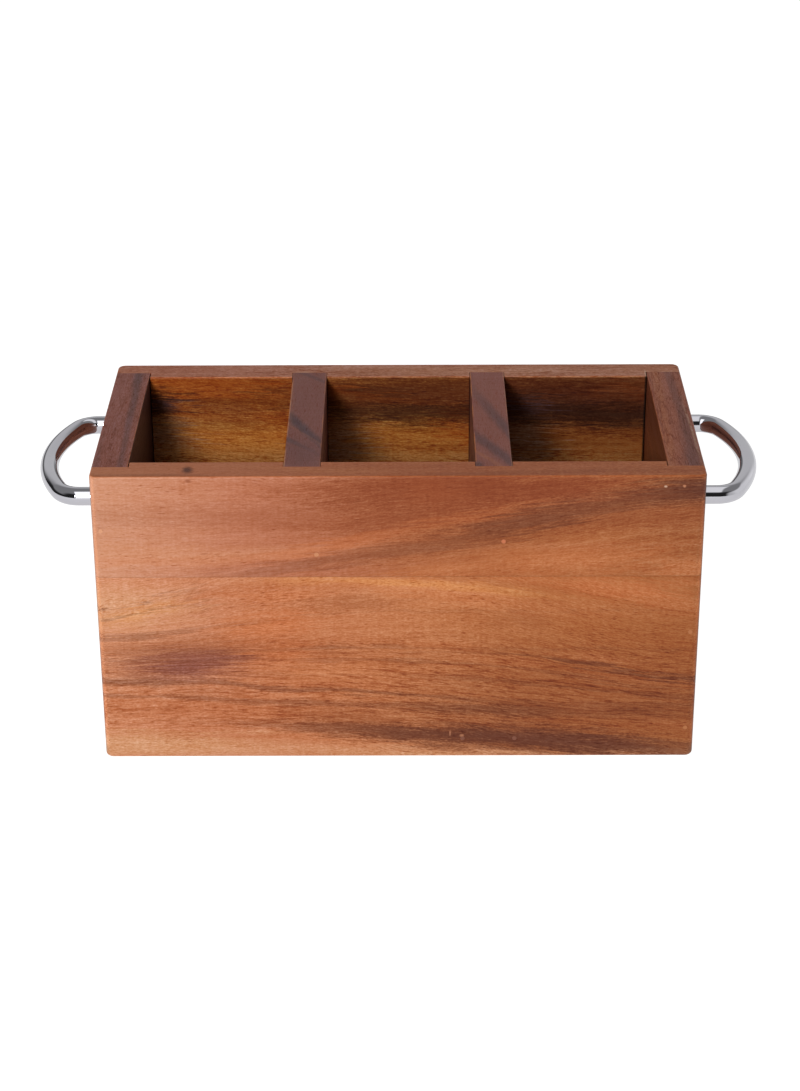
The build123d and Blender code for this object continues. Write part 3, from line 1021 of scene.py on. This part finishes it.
def bendHandle(name, tree, turn):
    handle = bpy.data.objects.new(name, bpy.data.meshes.new(name))
    scene.collection.objects.link(handle)
    modifier = handle.modifiers.new("bend", "NODES")
    modifier.node_group = tree
    values = dict(handleBar, Turn=turn, Material=polished)
    for item in tree.interface.items_tree:
        if item.in_out == "INPUT":
            modifier[item.identifier] = values[item.name]
    shaped = handle.evaluated_get(bpy.context.evaluated_depsgraph_get())
    handle.data = bpy.data.meshes.new_from_object(shaped)
    handle.modifiers.clear()
    return handle


bentBar = handleTree()
for handleName, turn in (("right_handle", 0.0), ("left_handle", radians(180))):
    handle = bendHandle(handleName.replace("handle", "bow"), bentBar, turn)
    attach(handle, "root")
    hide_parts(handleName)
    print(handle.name, "bent,", len(handle.data.polygons), "faces")


# floor, light and camera
studio = {
    "floorSize": 9.0,
    "floorHeight": -0.0003,        # just under the caddy
    "floorDark": tint(140, 140, 140), "floorLight": tint(146, 146, 146),
    "floorCloud": 700.0,        # mm
    "floorRoughness": 0.9,
    "floorGlow": 0.72,        # what it gives the caddy; the camera sees it white
    "keyPlace": (-0.52, -1.60, 0.86),
    "keyTarget": (0.0, 0.0, 0.08),
    "keySize": (0.36, 0.36),
    "keyPower": 19.0,
    "roomDimming": 0.45,        # black flags keep the room off the wood
    "roomGlow": 0.26,
    "backWallGlow": 0.36,
    "darkDepth": 0.92,
    "skirtingDepth": 0.85,
    "screenGlow": 0.6,
    "panelGlow": 0.75,
    "stripGlow": 1.7,
}


def layFloor():
    half = studio["floorSize"] / 2
    height = studio["floorHeight"]
    corners = [(-half, -half), (half, -half), (half, half), (-half, half)]
    mesh = bpy.data.meshes.new("floor")
    mesh.from_pydata([(x, y, height) for x, y in corners], [], [(0, 1, 2, 3)])
    floor = bpy.data.objects.new("floor", mesh)
    scene.collection.objects.link(floor)
    material, shader, place = newMaterial("pale_floor")
    cloud = evenNoise(place, studio["floorCloud"], 2, 1.0)
    connect(shader, "Base Color", layColour(cloud, studio["floorDark"], studio["floorLight"]))
    shader.inputs["Roughness"].default_value = studio["floorRoughness"]
    shader.inputs["Specular IOR Level"].default_value = 0.0
    seen = place.make("ShaderNodeLightPath", output="Is Camera Ray")
    glow = layColour(seen, (*(studio["floorGlow"],) * 3, 1.0), (1.0, 1.0, 1.0, 1.0))
    connect(shader, "Emission Color", glow)
    shader.inputs["Emission Strength"].default_value = 1.0
    mesh.materials.append(material)


def hangLight(name, place, target, size, power):
    light = bpy.data.lights.new(name, "AREA")
    light.shape = "RECTANGLE"
    light.size, light.size_y = size
    light.energy = power
    lamp = bpy.data.objects.new(name, light)
    lamp.location = place
    lamp.rotation_euler = (Vector(target) - Vector(place)).to_track_quat("-Z", "Y").to_euler()
    scene.collection.objects.link(lamp)


def paintWorld():
    world = bpy.data.worlds.new("studio")
    scene.world = world
    world.use_nodes = True
    tree = world.node_tree
    coordinate = tree.nodes.new("ShaderNodeTexCoord")
    x, y, z = splitAxes(Wire(tree, coordinate.outputs["Generated"]))
    front = y.fall(-0.62, -0.2) * z.fall(0.62, 0.86)        # dark side of the room, behind the camera
    left = x.fall(-0.78, -0.5) * z.fall(0.24, 0.4)        # dark doorway
    skirting = abs(z - 0.07).fall(0.05, 0.16) * x.fall(0.1, 0.4)        # dark foot of the walls
    dark = front.most(left).most(skirting * studio["skirtingDepth"])
    back = y.rise(0.6, 0.85)        # pale wall behind
    right = x.rise(0.5, 0.75) * z.fall(0.45, 0.6)        # white screen on the right
    panel = x.rise(0.04, 0.1) * x.fall(0.25, 0.35) * z.rise(0.72, 0.82)        # pale board overhead
    strip = x.rise(-0.31, -0.27) * x.fall(-0.06, -0.02) * y.fall(-0.2, -0.12)        # tall lamp, front left
    room = (studio["roomGlow"] + back * studio["backWallGlow"]) * (1.0 - dark * studio["darkDepth"])
    room = room + right * studio["screenGlow"] + panel * studio["panelGlow"]
    room = room + (studio["stripGlow"] - room) * strip
    white = x.make("ShaderNodeLightPath", output="Is Camera Ray")
    soft = x.make("ShaderNodeLightPath", output="Is Diffuse Ray")
    room = room * (1.0 - soft * studio["roomDimming"])
    strength = room + (1.0 - room) * white
    connect(tree.nodes["Background"], "Strength", strength)
    tree.nodes["Background"].inputs["Color"].default_value = (1.0, 1.0, 1.0, 1.0)


photoCamera = {
    "lens": 81.763, "sensor": 36.0, "place": (0.00370, -1.16502, 0.65258),
    "yaw": -0.1470, "pitch": 25.9830, "roll": -0.2160,        # degrees
}


def setCamera():
    camera = bpy.data.cameras.new("photo_camera")
    camera.lens = photoCamera["lens"]
    camera.sensor_width = photoCamera["sensor"]
    holder = bpy.data.objects.new("photo_camera", camera)
    scene.collection.objects.link(holder)
    yaw, pitch, roll = (radians(photoCamera[name]) for name in ("yaw", "pitch", "roll"))
    ahead = Vector((sin(yaw) * cos(pitch), cos(yaw) * cos(pitch), -sin(pitch)))
    side = Vector((cos(yaw), -sin(yaw), 0.0))
    up = side.cross(ahead)
    rolledSide = cos(roll) * side + sin(roll) * up
    rolledUp = cos(roll) * up - sin(roll) * side
    stance = Matrix((rolledSide, rolledUp, -ahead)).transposed().to_4x4()
    stance.translation = photoCamera["place"]
    holder.matrix_world = stance
    scene.camera = holder


layFloor()
paintWorld()
hangLight("key", studio["keyPlace"], studio["keyTarget"], studio["keySize"], studio["keyPower"])
setCamera()
scene.view_settings.view_transform = "Standard"
print("floor, light and camera set")
